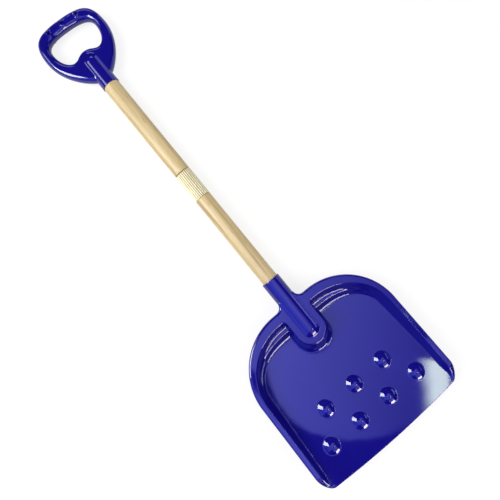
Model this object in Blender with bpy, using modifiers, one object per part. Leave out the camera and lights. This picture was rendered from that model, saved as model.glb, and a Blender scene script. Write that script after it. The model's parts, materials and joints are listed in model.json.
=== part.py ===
"""Kids snow shovel: moulded scoop, shaft in two turned halves, ribbed joining sleeve, moulded D grip, screws.

Units are metres. Shapes are drawn in the shaft's own frame: +Y runs up the shaft from the middle of the
cutting edge, Z is 0 on the shaft's axis and +Z is the side that carries the snow. An empty then lays the
shovel down.
"""

import math
from collections import namedtuple

import bmesh
import bpy
from mathutils import Matrix, Vector

# Fits and facets
FIT_GAP = 0.0003
OVERCUT = 0.004
MERGE_DISTANCE = 0.00001
ROUND_STEPS = 48
HOLE_STEPS = 24
SMOOTH_ANGLE = math.radians(35)

# Shaft halves
SHAFT_DIAMETER = 0.024
LOWER_EXPOSED_LENGTH = 0.151
UPPER_EXPOSED_LENGTH = 0.160
SHAFT_CHAMFER = 0.0008
JOINT_TENON_DIAMETER = 0.016
JOINT_TENON_LENGTH = 0.0215
GRIP_TENON_DIAMETER = 0.021
GRIP_TENON_LENGTH = 0.038

# Joining sleeve
SLEEVE_LENGTH = 0.045
SLEEVE_DIAMETER = 0.0242
SLEEVE_RIBS = 24
RIB_DEPTH = 0.0008
RIB_LAND_SHARE = 0.55

# Scoop in plan
BLADE_LENGTH = 0.2465
FRONT_HALF_WIDTH = 0.1274
BACK_HALF_WIDTH = 0.1235
BACK_LEDGE = 0.0068
FRONT_CORNER_RADIUS = 0.017
EDGE_BOW = 0.0042

# Scoop in section
WALL = 0.0026
RIM_HEIGHT = 0.008
FRONT_DEPTH = 0.0095
FLOOR_SLOPE = math.radians(5.8)
SIDE_FLANGE = 0.0085
BACK_FLANGE = 0.015
WALL_BASE_RUN = 0.006
SIDE_WALL_LEAN = 0.40
BACK_WALL_LEAN = 0.95
LIP_RADIUS = 0.0032
LIP_SKIRT = 0.003
CORNER_ARC = math.radians(75)
CORNER_LEAST_FLANGE = 0.0045
CORNER_STEPS = 5
SIDE_STEPS = 4
BACK_STEPS = 10
FILLET_STEPS = 4
WALL_STEPS = 7
LIP_STEPS = 3
EDGE_STEPS = 6

# Shaft socket and the tongue that carries it down to the floor
SOCKET_NECK = 0.043
SOCKET_DIAMETER = 0.0284
SOCKET_FILLET = 0.0105
SHAFT_INSERTION = 0.088
TONGUE_HALF_WIDTH = 0.0205
TONGUE_LENGTH = 0.0685
TONGUE_DEPTH = 0.036
TONGUE_SIDE_FLARE = 0.0095
TONGUE_TIP_FLARE = 0.025
TONGUE_ROUND = 0.0035
TONGUE_ROUND_STEPS = 3
TONGUE_PLATE = 0.0032
TONGUE_STEPS = 21
SOCKET_END_STEPS = 8

# Grip domes on the floor
DOME_WIDTH = 0.025
DOME_LENGTH = 0.029
DOME_HEIGHT = 0.006
DOME_SINK = 0.0008
DOME_PITCH = 0.054
DOME_ROWS = ((0.0505, 4), (0.0942, 3))
DOME_STEPS = 16

# D grip
GRIP_LENGTH = 0.118
GRIP_HALF_WIDTH = 0.0515
GRIP_WIDEST = 0.040
GRIP_SHOULDER_REACH = 0.040
GRIP_SHOULDER_DROP = 0.032
GRIP_THROAT = 0.105
GRIP_CHEEK_REACH = 0.030
GRIP_THROAT_REACH = 0.020
GRIP_THROAT_ANGLE = math.radians(28)
BAR_DEPTH = 0.018
HOLE_TOP_REACH = 0.026
HOLE_HALF_WIDTH = 0.037
HOLE_WIDEST = 0.035
HOLE_SIDE_RISE = 0.013
HOLE_SIDE_DROP = 0.018
HOLE_LOBE_HALF_SPACING = 0.0205
HOLE_LOBE = 0.066
HOLE_LOBE_REACH = 0.008
HOLE_HUMP = 0.0565
GRIP_THICKNESS = 0.017
GRIP_ROUND = 0.0065
GRIP_CURVE_STEPS = 8
GRIP_ROUND_STEPS = 2
GRIP_SOCKET_DIAMETER = 0.026
GRIP_SOCKET_LENGTH = 0.054
RIDGE_COUNT = 3
RIDGE_SPACING = 0.0235
RIDGE_RADIUS = 0.0022
RIDGE_RISE = 0.0012
RIDGE_STEPS = 8

# Screws through the back of each socket
SCREW_HEAD_DIAMETER = 0.007
SCREW_HEAD_HEIGHT = 0.0021
SCREW_HEAD_RIM = 0.0004
SCREW_SHANK_DIAMETER = 0.0036
SCREW_LENGTH = 0.014
SCREW_TIP_LENGTH = 0.003
SCREW_INSET = 0.019
SCREW_SINK = 0.0006
RECESS_WIDTH = 0.0010
RECESS_LENGTH = 0.0042
RECESS_DEPTH = 0.0012

# Places along the shaft
TONGUE_TIP_Y = BLADE_LENGTH - TONGUE_LENGTH
SOCKET_MOUTH_Y = BLADE_LENGTH + SOCKET_NECK
SOCKET_FLOOR_Y = SOCKET_MOUTH_Y - SHAFT_INSERTION
SLEEVE_START_Y = SOCKET_MOUTH_Y + LOWER_EXPOSED_LENGTH
SLEEVE_END_Y = SLEEVE_START_Y + SLEEVE_LENGTH
GRIP_MOUTH_Y = SLEEVE_END_Y + UPPER_EXPOSED_LENGTH
GRIP_TOP_Y = GRIP_MOUTH_Y + GRIP_LENGTH

SHAFT_RADIUS = SHAFT_DIAMETER / 2
SOCKET_RADIUS = SOCKET_DIAMETER / 2
GRIP_SOCKET_RADIUS = GRIP_SOCKET_DIAMETER / 2
BACK_CORNER_RADIUS = BACK_HALF_WIDTH - BACK_LEDGE - SOCKET_FILLET - SOCKET_RADIUS

Station = namedtuple("Station", "x y inward_x inward_y flange lean rise")


# Scene helpers

def clear_scene():
    for obj in list(bpy.data.objects):
        bpy.data.objects.remove(obj, do_unlink=True)


def new_collection(name, parent):
    collection = bpy.data.collections.new(name)
    parent.children.link(collection)
    return collection


def new_material(name, color, roughness, metallic=0.0):
    material = bpy.data.materials.new(name)
    material.use_nodes = True
    shader = material.node_tree.nodes["Principled BSDF"]
    shader.inputs["Base Color"].default_value = (*color, 1.0)
    shader.inputs["Roughness"].default_value = roughness
    shader.inputs["Metallic"].default_value = metallic
    return material


def add_part(name, data, material):
    obj = bpy.data.objects.new(name, data)
    PARTS.objects.link(obj)
    obj.parent = ROOT
    data.materials.append(material)
    return obj


def add_tool(name, data, collection=None):
    """A cutter, or a shape to be joined to a part."""
    obj = bpy.data.objects.new(name, data)
    (collection or TOOLS).objects.link(obj)
    obj.parent = ROOT
    obj.hide_render = True
    obj.display_type = "WIRE"
    return obj


def mesh_from(bm, name):
    mesh = bpy.data.meshes.new(name)
    bm.to_mesh(mesh)
    bm.free()
    mesh.shade_smooth()
    mesh.set_sharp_from_angle(angle=SMOOTH_ANGLE)
    return mesh


def boolean(target, operation, tool):
    """Cut or join with one object, or with every object of a collection."""
    modifier = target.modifiers.new(tool.name, "BOOLEAN")
    modifier.operation = operation
    modifier.solver = "EXACT"
    if isinstance(tool, bpy.types.Collection):
        modifier.operand_type = "COLLECTION"
        modifier.collection = tool
    else:
        modifier.object = tool


def lofted(name, rings):
    """A closed mesh through rings with equal numbers of points, capped at both ends."""
    bm = bmesh.new()
    rows = [[bm.verts.new(point) for point in ring] for ring in rings]
    for upper, lower in zip(rows, rows[1:]):
        for i in range(len(upper)):
            bm.faces.new((upper[i - 1], upper[i], lower[i], lower[i - 1]))
    bm.faces.new(rows[0])
    bm.faces.new(rows[-1])
    bmesh.ops.recalc_face_normals(bm, faces=bm.faces)
    return mesh_from(bm, name)


def profile_mesh(name, profile, spin=0.0):
    """An edge chain of (radius, height) points, listed from the top down, to be turned about local Z.
    A spin of half a facet keeps a cutter's corners off those of the shape that it cuts."""
    mesh = bpy.data.meshes.new(name)
    points = [(radius * math.cos(spin), radius * math.sin(spin), height) for radius, height in profile]
    mesh.from_pydata(points, [(i, i + 1) for i in range(len(points) - 1)], [])
    return mesh


def turn(obj, steps=ROUND_STEPS):
    modifier = obj.modifiers.new("Turn", "SCREW")
    modifier.steps = steps
    modifier.render_steps = steps
    modifier.use_merge_vertices = True
    modifier.merge_threshold = MERGE_DISTANCE
    modifier.use_smooth_shade = True
    return obj


def lay_along_shaft(obj, start):
    """Point a turned object's local Z up the shaft, with its height 0 at start."""
    obj.rotation_euler = (-math.pi / 2, 0.0, 0.0)
    obj.location = (0.0, start, 0.0)
    return obj


def cylinder_profile(radius, top):
    return [(0.0, top), (radius, top), (radius, 0.0), (0.0, 0.0)]


def solid_from_curve(curve, name):
    """The closed mesh of a filled 2D curve, with its caps welded to its sides."""
    guide = bpy.data.objects.new(name, curve)
    bpy.context.scene.collection.objects.link(guide)
    graph = bpy.context.evaluated_depsgraph_get()
    mesh = bpy.data.meshes.new_from_object(guide.evaluated_get(graph))
    bpy.data.objects.remove(guide, do_unlink=True)
    bpy.data.curves.remove(curve)
    bm = bmesh.new()
    bm.from_mesh(mesh)
    bpy.data.meshes.remove(mesh)
    bmesh.ops.remove_doubles(bm, verts=bm.verts, dist=MERGE_DISTANCE)
    bmesh.ops.recalc_face_normals(bm, faces=bm.faces)
    return mesh_from(bm, name)


def flat_curve(name):
    curve = bpy.data.curves.new(name, "CURVE")
    curve.dimensions = "2D"
    curve.fill_mode = "BOTH"
    return curve


# Scoop

def floor_z(y):
    """Height of the floor's upper face."""
    return RIM_HEIGHT - FRONT_DEPTH - y * math.tan(FLOOR_SLOPE)


def corner_stations():
    """The rounded front corner, where the rim comes down to the cutting edge."""
    centre_x = FRONT_HALF_WIDTH - FRONT_CORNER_RADIUS
    centre_y = EDGE_BOW + FRONT_CORNER_RADIUS
    for step in range(CORNER_STEPS):
        angle = CORNER_ARC * (1 - step / CORNER_STEPS)
        x = centre_x + FRONT_CORNER_RADIUS * math.cos(angle)
        y = centre_y - FRONT_CORNER_RADIUS * math.sin(angle)
        rise = math.cos(angle)
        flange = CORNER_LEAST_FLANGE + rise * (SIDE_FLANGE - CORNER_LEAST_FLANGE)
        yield Station(x, y, -1.0, 0.0, flange, SIDE_WALL_LEAN, rise)


def side_stations():
    start_y = EDGE_BOW + FRONT_CORNER_RADIUS
    end_y = BLADE_LENGTH - BACK_CORNER_RADIUS
    for step in range(SIDE_STEPS):
        share = step / SIDE_STEPS
        x = FRONT_HALF_WIDTH + share * (BACK_HALF_WIDTH - FRONT_HALF_WIDTH)
        y = start_y + share * (end_y - start_y)
        yield Station(x, y, -1.0, 0.0, SIDE_FLANGE, SIDE_WALL_LEAN, 1.0)


def back_stations():
    """The large rear corner, its sections turned with the arc."""
    for step in range(BACK_STEPS + 1):
        angle = math.pi / 2 * step / BACK_STEPS
        share = math.sin(angle) ** 2
        x = BACK_HALF_WIDTH - BACK_CORNER_RADIUS * (1 - math.cos(angle))
        y = BLADE_LENGTH - BACK_CORNER_RADIUS * (1 - math.sin(angle))
        flange = SIDE_FLANGE + share * (BACK_FLANGE - SIDE_FLANGE)
        lean = SIDE_WALL_LEAN + share * (BACK_WALL_LEAN - SIDE_WALL_LEAN)
        yield Station(x, y, -math.cos(angle), -math.sin(angle), flange, lean, 1.0)


def neck_stations():
    """The fillet from the straight back edge to the side of the socket, then the middle."""
    start_x = SOCKET_RADIUS + SOCKET_FILLET
    for step in range(FILLET_STEPS + 1):
        angle = math.pi / 2 * step / FILLET_STEPS
        bulge = SOCKET_FILLET * (1 - math.cos(angle))
        x = start_x - SOCKET_FILLET * math.sin(angle)
        yield Station(x, BLADE_LENGTH + bulge, 0.0, -1.0, BACK_FLANGE + bulge, BACK_WALL_LEAN, 1.0)
    yield middle_station()


def middle_station():
    back = BLADE_LENGTH + SOCKET_FILLET
    return Station(0.0, back, 0.0, -1.0, BACK_FLANGE + SOCKET_FILLET, BACK_WALL_LEAN, 1.0)


def wall_size(station):
    """Rim height, wall height and wall run of a station whose foot lies on the sloping floor."""
    rim = floor_z(station.y) + station.rise * (RIM_HEIGHT - floor_z(station.y))
    slope = math.tan(FLOOR_SLOPE) * station.inward_y
    reach = station.flange + WALL_BASE_RUN
    height = (rim - floor_z(station.y) + reach * slope) / (1 - station.lean * slope)
    return rim, height, WALL_BASE_RUN + station.lean * height


def wall_profile(station):
    """(distance in from the rim, height) down the S-shaped wall, from the flange to the floor."""
    rim, height, run = wall_size(station)
    profile = []
    for step in range(WALL_STEPS + 1):
        t = step / WALL_STEPS
        across = station.flange + run * (1.5 * t * (1 - t) + t**3)
        profile.append(Vector((across, rim - height * t * t * (3 - 2 * t))))
    return profile


def lip_profile(station):
    """(distance in from the rim, height) up the rolled edge, from its lower end to the top of the flange."""
    rim = wall_size(station)[0]
    profile = [Vector((0.0, rim - LIP_RADIUS - LIP_SKIRT * station.rise))]
    for step in range(LIP_STEPS + 1):
        angle = math.pi / 2 * step / LIP_STEPS
        across = LIP_RADIUS * (1 - math.cos(angle))
        profile.append(Vector((across, rim - LIP_RADIUS * (1 - math.sin(angle)))))
    return profile


def under_face(profile):
    """The shell's lower face, one wall behind its upper one and level with the floor's at the foot."""
    face = []
    for i, point in enumerate(profile[:-1]):
        along = (profile[i + 1] - profile[max(i - 1, 0)]).normalized()
        face.append(point + WALL * Vector((along.y, -along.x)))
    return [*face, profile[-1] - Vector((0.0, WALL))]


def stand(station, profile):
    """A section's points in the shaft's frame."""
    for across, height in profile:
        yield (station.x + station.inward_x * across, station.y + station.inward_y * across, height)


def cutting_edge(foot, drop):
    """Points of the bowed edge from the middle to the corner wall's foot, which it leaves out."""
    for step in range(EDGE_STEPS):
        share = step / EDGE_STEPS
        y = foot.y * share**2
        yield (foot.x * share, y, floor_z(y) - drop)


def shell_mesh():
    """Right half of the scoop, lofted through its sections and left open at the middle."""
    bm = bmesh.new()
    rings = []
    for station in (*corner_stations(), *side_stations(), *back_stations(), *neck_stations()):
        upper = lip_profile(station) + wall_profile(station)
        ring = [*reversed(under_face(upper)), *upper]
        rings.append([bm.verts.new(point) for point in stand(station, ring)])
    for here, after in zip(rings, rings[1:]):
        for j in range(len(here) - 1):
            bm.faces.new((here[j], after[j], after[j + 1], here[j + 1]))
    bm.faces.new(rings[0])
    foot = rings[0][-1].co
    upper_edge = [bm.verts.new(point) for point in cutting_edge(foot, 0.0)]
    lower_edge = [bm.verts.new(point) for point in cutting_edge(foot, WALL)]
    upper_floor = [ring[-1] for ring in rings] + upper_edge
    lower_floor = [ring[0] for ring in rings] + lower_edge
    bm.faces.new(upper_floor)
    bm.faces.new(reversed(lower_floor))
    upper_edge.append(rings[0][-1])
    lower_edge.append(rings[0][0])
    for i in range(EDGE_STEPS):
        bm.faces.new((upper_edge[i + 1], upper_edge[i], lower_edge[i], lower_edge[i + 1]))
    return mesh_from(bm, "scoop_blade")


def tongue_ring(depth, inset, back_y):
    """A U in plan at a depth under the rim: straight sides and a round tip, wider the deeper it lies."""
    share = max(0.0, depth - TONGUE_ROUND) / (TONGUE_DEPTH - TONGUE_ROUND)
    half_width = TONGUE_HALF_WIDTH + share * TONGUE_SIDE_FLARE - inset
    tip = TONGUE_TIP_Y - share * TONGUE_TIP_FLARE + inset
    height = RIM_HEIGHT - depth
    ring = [(half_width, back_y, height)]
    for step in range(TONGUE_STEPS + 1):
        angle = math.pi * step / TONGUE_STEPS
        y = tip + half_width * (1 - math.sin(angle))
        ring.append((half_width * math.cos(angle), y, height))
    ring.append((-half_width, back_y, height))
    return ring


def tongue_mesh():
    back_y = BLADE_LENGTH - BACK_FLANGE / 2
    rings = []
    for step in range(TONGUE_ROUND_STEPS + 1):
        angle = math.pi / 2 * step / TONGUE_ROUND_STEPS
        inset = TONGUE_ROUND * (1 - math.sin(angle))
        rings.append(tongue_ring(TONGUE_ROUND * (1 - math.cos(angle)), inset, back_y))
    rings.append(tongue_ring(TONGUE_DEPTH, 0.0, back_y))
    return lofted("tongue", rings)


def tongue_hollow_mesh():
    back_y = BLADE_LENGTH - LIP_RADIUS - WALL
    depths = (TONGUE_PLATE, TONGUE_DEPTH + OVERCUT)
    return lofted("tongue_hollow", [tongue_ring(depth, WALL, back_y) for depth in depths])


def under_floor_mesh():
    """The space under the back wall and the floor, as wide as the tongue, up to the middle of their wall."""
    middle = middle_station()
    wall = [(middle.y - across, height - WALL / 2) for across, height in wall_profile(middle)]
    front_y = TONGUE_TIP_Y - TONGUE_TIP_FLARE - OVERCUT
    bottom = RIM_HEIGHT - TONGUE_DEPTH - OVERCUT
    flange = (BLADE_LENGTH, RIM_HEIGHT - WALL / 2)
    front = (front_y, floor_z(front_y) - WALL / 2)
    outline = [flange, *wall, front, (front_y, bottom), (BLADE_LENGTH, bottom)]
    half_width = TONGUE_HALF_WIDTH + TONGUE_SIDE_FLARE + OVERCUT
    return lofted("under_floor", [[(x, y, z) for y, z in outline] for x in (half_width, -half_width)])


def dome_mesh(name, shrink, bottom):
    """An ellipsoid on the floor, cut off at bottom under its middle."""
    bm = bmesh.new()
    bmesh.ops.create_uvsphere(bm, u_segments=DOME_STEPS, v_segments=DOME_STEPS // 2, radius=1.0)
    bmesh.ops.rotate(bm, matrix=Matrix.Rotation(math.pi / DOME_STEPS, 3, "Z"), verts=bm.verts)
    radii = (DOME_WIDTH / 2 - shrink, DOME_LENGTH / 2 - shrink, DOME_HEIGHT + DOME_SINK - shrink)
    bmesh.ops.scale(bm, vec=radii, verts=bm.verts)
    cut = bmesh.ops.bisect_plane(
        bm,
        geom=[*bm.verts, *bm.edges, *bm.faces],
        plane_co=(0.0, 0.0, -bottom),
        plane_no=(0.0, 0.0, -1.0),
        clear_outer=True,
    )
    rim = [item for item in cut["geom_cut"] if isinstance(item, bmesh.types.BMEdge)]
    if rim:
        bmesh.ops.contextual_create(bm, geom=rim)
    bmesh.ops.recalc_face_normals(bm, faces=bm.faces)
    return mesh_from(bm, name)


def dome_places():
    for row_y, count in DOME_ROWS:
        for i in range(count):
            yield ((i - (count - 1) / 2) * DOME_PITCH, row_y, floor_z(row_y) - DOME_SINK)


def socket_profile():
    """Outer wall of the shaft socket: a tube with a round lower end."""
    length = SOCKET_MOUTH_Y - SOCKET_FLOOR_Y
    profile = [(0.0, length), (SOCKET_RADIUS, length), (SOCKET_RADIUS, 0.0)]
    for step in range(1, SOCKET_END_STEPS + 1):
        angle = math.pi / 2 * step / SOCKET_END_STEPS
        profile.append((SOCKET_RADIUS * math.cos(angle), -SOCKET_RADIUS * math.sin(angle)))
    return profile


def make_blade():
    blade = add_part("scoop_blade", shell_mesh(), BLUE)
    mirror = blade.modifiers.new("Mirror", "MIRROR")
    mirror.merge_threshold = MERGE_DISTANCE

    tongue = add_tool("tongue", tongue_mesh())
    boolean(tongue, "DIFFERENCE", add_tool("under_floor", under_floor_mesh()))
    boolean(blade, "UNION", tongue)
    boolean(blade, "DIFFERENCE", add_tool("tongue_hollow", tongue_hollow_mesh()))

    socket = turn(add_tool("socket", profile_mesh("socket", socket_profile())))
    boolean(blade, "UNION", lay_along_shaft(socket, SOCKET_FLOOR_Y))
    bore_profile = cylinder_profile(SHAFT_RADIUS + FIT_GAP, SHAFT_INSERTION + OVERCUT)
    bore = turn(add_tool("socket_bore", profile_mesh("socket_bore", bore_profile, math.pi / ROUND_STEPS)))
    boolean(blade, "DIFFERENCE", lay_along_shaft(bore, SOCKET_FLOOR_Y))

    domes = new_collection("domes", TOOLS)
    hollows = new_collection("dome_hollows", TOOLS)
    dome = dome_mesh("dome", 0.0, WALL / 2)
    hollow = dome_mesh("dome_hollow", WALL, DOME_HEIGHT + DOME_SINK)
    for place in dome_places():
        for mesh, collection in ((dome, domes), (hollow, hollows)):
            tool = add_tool(mesh.name, mesh, collection)
            tool.location = place
            tool.rotation_euler = (-FLOOR_SLOPE, 0.0, 0.0)
    boolean(blade, "UNION", domes)
    boolean(blade, "DIFFERENCE", hollows)
    return blade


# Shaft and sleeve

def make_lower_shaft():
    shoulder = SLEEVE_START_Y - SOCKET_FLOOR_Y - FIT_GAP
    top = shoulder + JOINT_TENON_LENGTH
    tenon = JOINT_TENON_DIAMETER / 2
    profile = [
        (0.0, top),
        (tenon - SHAFT_CHAMFER, top),
        (tenon, top - SHAFT_CHAMFER),
        (tenon, shoulder),
        (SHAFT_RADIUS - SHAFT_CHAMFER, shoulder),
        (SHAFT_RADIUS, shoulder - SHAFT_CHAMFER),
        (SHAFT_RADIUS, SHAFT_CHAMFER),
        (SHAFT_RADIUS - SHAFT_CHAMFER, 0.0),
        (0.0, 0.0),
    ]
    shaft = turn(add_part("lower_shaft", profile_mesh("lower_shaft", profile), WOOD))
    return lay_along_shaft(shaft, SOCKET_FLOOR_Y + FIT_GAP)


def make_upper_shaft():
    lower_shoulder = JOINT_TENON_LENGTH
    upper_shoulder = JOINT_TENON_LENGTH + UPPER_EXPOSED_LENGTH - FIT_GAP
    top = upper_shoulder + GRIP_TENON_LENGTH
    joint_tenon = JOINT_TENON_DIAMETER / 2
    grip_tenon = GRIP_TENON_DIAMETER / 2
    profile = [
        (0.0, top),
        (grip_tenon - SHAFT_CHAMFER, top),
        (grip_tenon, top - SHAFT_CHAMFER),
        (grip_tenon, upper_shoulder),
        (SHAFT_RADIUS, upper_shoulder),
        (SHAFT_RADIUS, lower_shoulder + SHAFT_CHAMFER),
        (SHAFT_RADIUS - SHAFT_CHAMFER, lower_shoulder),
        (joint_tenon, lower_shoulder),
        (joint_tenon, SHAFT_CHAMFER),
        (joint_tenon - SHAFT_CHAMFER, 0.0),
        (0.0, 0.0),
    ]
    shaft = turn(add_part("upper_shaft", profile_mesh("upper_shaft", profile), WOOD))
    return lay_along_shaft(shaft, SLEEVE_END_Y - JOINT_TENON_LENGTH)


def ribbed_outline():
    """Round outline with lengthwise ribs, each a land and a groove."""
    crest = SLEEVE_DIAMETER / 2
    pitch = 2 * math.pi / SLEEVE_RIBS
    land = pitch * RIB_LAND_SHARE
    flank = (pitch - land) / 3
    for rib in range(SLEEVE_RIBS):
        start = rib * pitch
        yield crest, start
        yield crest, start + land
        yield crest - RIB_DEPTH, start + land + flank
        yield crest - RIB_DEPTH, start + land + 2 * flank


def add_ring(curve, polar_points):
    """A closed spline through (radius, angle) points."""
    points = list(polar_points)
    spline = curve.splines.new("POLY")
    spline.points.add(len(points) - 1)
    for point, (radius, angle) in zip(spline.points, points):
        point.co = (radius * math.cos(angle), radius * math.sin(angle), 0.0, 1.0)
    spline.use_cyclic_u = True


def make_sleeve():
    curve = flat_curve("coupling_sleeve")
    curve.extrude = SLEEVE_LENGTH / 2 - FIT_GAP
    add_ring(curve, ribbed_outline())
    bore = JOINT_TENON_DIAMETER / 2 + FIT_GAP
    add_ring(curve, ((bore, 2 * math.pi * i / ROUND_STEPS) for i in range(ROUND_STEPS)))
    sleeve = add_part("coupling_sleeve", solid_from_curve(curve, "coupling_sleeve"), CREAM)
    return lay_along_shaft(sleeve, (SLEEVE_START_Y + SLEEVE_END_Y) / 2)


# Grip

def add_outline(curve, knots):
    """A closed, mirror-symmetric Bezier spline. A knot is (x, depth under the top, reach before, reach
    after), where a reach is the handle's vector. Knots run down the right side, from middle to middle."""
    right = [(Vector((x, -down)), Vector(before), Vector(after)) for x, down, before, after in knots]
    flip = Matrix.Scale(-1.0, 2, Vector((1.0, 0.0)))
    left = [(flip @ p, flip @ after, flip @ before) for p, before, after in reversed(right) if p.x > 0]
    spline = curve.splines.new("BEZIER")
    spline.bezier_points.add(len(right) + len(left) - 1)
    for knot, (point, before, after) in zip(spline.bezier_points, right + left):
        knot.handle_left_type = "FREE"
        knot.handle_right_type = "FREE"
        knot.co = (*point, 0.0)
        knot.handle_left = (*(point + before), 0.0)
        knot.handle_right = (*(point + after), 0.0)
    spline.use_cyclic_u = True


def grip_outer_knots():
    throat_x = GRIP_SOCKET_RADIUS - GRIP_ROUND / 2
    slant = Vector((math.cos(GRIP_THROAT_ANGLE), math.sin(GRIP_THROAT_ANGLE))) * GRIP_THROAT_REACH
    return [
        (0.0, 0.0, (-GRIP_SHOULDER_REACH, 0.0), (GRIP_SHOULDER_REACH, 0.0)),
        (GRIP_HALF_WIDTH, GRIP_WIDEST, (0.0, GRIP_SHOULDER_DROP), (0.0, -GRIP_CHEEK_REACH)),
        (throat_x, GRIP_THROAT, tuple(slant), (0.0, 0.0)),
    ]


def grip_hole_knots():
    return [
        (0.0, BAR_DEPTH, (-HOLE_TOP_REACH, 0.0), (HOLE_TOP_REACH, 0.0)),
        (HOLE_HALF_WIDTH, HOLE_WIDEST, (0.0, HOLE_SIDE_RISE), (0.0, -HOLE_SIDE_DROP)),
        (HOLE_LOBE_HALF_SPACING, HOLE_LOBE, (HOLE_LOBE_REACH, 0.0), (-HOLE_LOBE_REACH, 0.0)),
        (0.0, HOLE_HUMP, (HOLE_LOBE_REACH, 0.0), (-HOLE_LOBE_REACH, 0.0)),
    ]


def ridge_mesh():
    """A ring round the hand bar, to be placed with its axis along X."""
    bpy.ops.mesh.primitive_torus_add(
        major_segments=HOLE_STEPS,
        minor_segments=RIDGE_STEPS,
        major_radius=BAR_DEPTH / 2 + RIDGE_RISE - RIDGE_RADIUS,
        minor_radius=RIDGE_RADIUS,
    )
    ring = bpy.context.object
    mesh = ring.data
    bpy.data.objects.remove(ring, do_unlink=True)
    return mesh


def grip_socket_profile():
    """Tube over the shaft's upper tenon, with a round closed end."""
    straight = GRIP_SOCKET_LENGTH - GRIP_SOCKET_RADIUS
    profile = []
    for step in range(SOCKET_END_STEPS):
        angle = math.pi / 2 * (1 - step / SOCKET_END_STEPS)
        height = straight + GRIP_SOCKET_RADIUS * math.sin(angle)
        profile.append((GRIP_SOCKET_RADIUS * math.cos(angle), height))
    return [*profile, (GRIP_SOCKET_RADIUS, straight), (GRIP_SOCKET_RADIUS, 0.0), (0.0, 0.0)]


def make_grip():
    curve = flat_curve("grip")
    curve.extrude = GRIP_THICKNESS / 2 - GRIP_ROUND
    curve.bevel_depth = GRIP_ROUND
    curve.bevel_resolution = GRIP_ROUND_STEPS
    curve.offset = -GRIP_ROUND
    curve.resolution_u = GRIP_CURVE_STEPS
    add_outline(curve, grip_outer_knots())
    add_outline(curve, grip_hole_knots())
    grip = add_part("d_grip", solid_from_curve(curve, "d_grip"), BLUE)
    grip.location = (0.0, GRIP_TOP_Y, 0.0)

    socket = turn(add_tool("grip_socket", profile_mesh("grip_socket", grip_socket_profile())))
    boolean(grip, "UNION", lay_along_shaft(socket, GRIP_MOUTH_Y))
    ridges = new_collection("ridges", TOOLS)
    mesh = ridge_mesh()
    for i in range(RIDGE_COUNT):
        ridge = add_tool("ridge", mesh, ridges)
        ridge.rotation_euler = (0.0, math.pi / 2, 0.0)
        x = (i - (RIDGE_COUNT - 1) / 2) * RIDGE_SPACING
        ridge.location = (x, GRIP_TOP_Y - BAR_DEPTH / 2, 0.0)
    boolean(grip, "UNION", ridges)
    bore_profile = cylinder_profile(GRIP_TENON_DIAMETER / 2 + FIT_GAP, GRIP_TENON_LENGTH + OVERCUT)
    bore = turn(add_tool("grip_bore", profile_mesh("grip_bore", bore_profile, math.pi / ROUND_STEPS)))
    boolean(grip, "DIFFERENCE", lay_along_shaft(bore, GRIP_MOUTH_Y - OVERCUT))
    return grip


# Screws

def screw_profile(grow, rise):
    """Countersunk screw with its head's face at height 0, or a hole for it that is larger all round."""
    head = SCREW_HEAD_DIAMETER / 2 + grow
    shank = SCREW_SHANK_DIAMETER / 2 + grow
    return [
        (0.0, rise),
        (head, rise),
        (head, -SCREW_HEAD_RIM - grow),
        (shank, -SCREW_HEAD_HEIGHT - grow),
        (shank, SCREW_TIP_LENGTH - SCREW_LENGTH - grow),
        (0.0, -SCREW_LENGTH - grow),
    ]


def face_down(obj, place):
    """Turn an object's local +Z to the back of the shovel."""
    obj.rotation_euler = (math.pi, 0.0, 0.0)
    obj.location = place
    return obj


def make_screw(name, y, socket_radius, holders):
    """A screw through the back of a socket into the shaft, and its hole in both."""
    place = (0.0, y, SCREW_SINK - socket_radius)
    screw = turn(add_part(name, profile_mesh(name, screw_profile(0.0, 0.0)), STEEL), HOLE_STEPS)
    face_down(screw, place)
    for sides in ((RECESS_LENGTH, RECESS_WIDTH), (RECESS_WIDTH, RECESS_LENGTH)):
        bm = bmesh.new()
        bmesh.ops.create_cube(bm, size=1.0)
        bmesh.ops.scale(bm, vec=(*sides, 2 * RECESS_DEPTH), verts=bm.verts)
        recess = add_tool(f"{name}_recess", mesh_from(bm, f"{name}_recess"))
        boolean(screw, "DIFFERENCE", face_down(recess, place))
    hole_profile = screw_profile(FIT_GAP, OVERCUT)
    hole_mesh = profile_mesh(f"{name}_hole", hole_profile, math.pi / HOLE_STEPS)
    hole = face_down(turn(add_tool(f"{name}_hole", hole_mesh), HOLE_STEPS), place)
    for holder in holders:
        boolean(holder, "DIFFERENCE", hole)


# Assembly

def heel():
    """Lowest point of the scoop in the shaft's frame, as (y, z): the foot of the back wall, outside."""
    middle = middle_station()
    across, height = wall_profile(middle)[-1]
    return middle.y - across, height - WALL


def lay_down():
    """Rest the shovel on its heel and on the end of the grip's socket, centred over the origin."""
    heel_y, heel_z = heel()
    grip_y = GRIP_MOUTH_Y + GRIP_SOCKET_LENGTH - GRIP_SOCKET_RADIUS
    ROOT.rotation_euler = (math.atan2(heel_z + GRIP_SOCKET_RADIUS, grip_y - heel_y), 0.0, 0.0)
    bpy.context.view_layer.update()
    graph = bpy.context.evaluated_depsgraph_get()
    low = Vector((math.inf,) * 3)
    high = -low
    for part in PARTS.objects:
        shape = part.evaluated_get(graph)
        for vertex in shape.to_mesh().vertices:
            place = shape.matrix_world @ vertex.co
            low = Vector(map(min, low, place))
            high = Vector(map(max, high, place))
        shape.to_mesh_clear()
    middle = (low + high) / 2
    ROOT.location = (-middle.x, -middle.y, -low.z)


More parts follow.
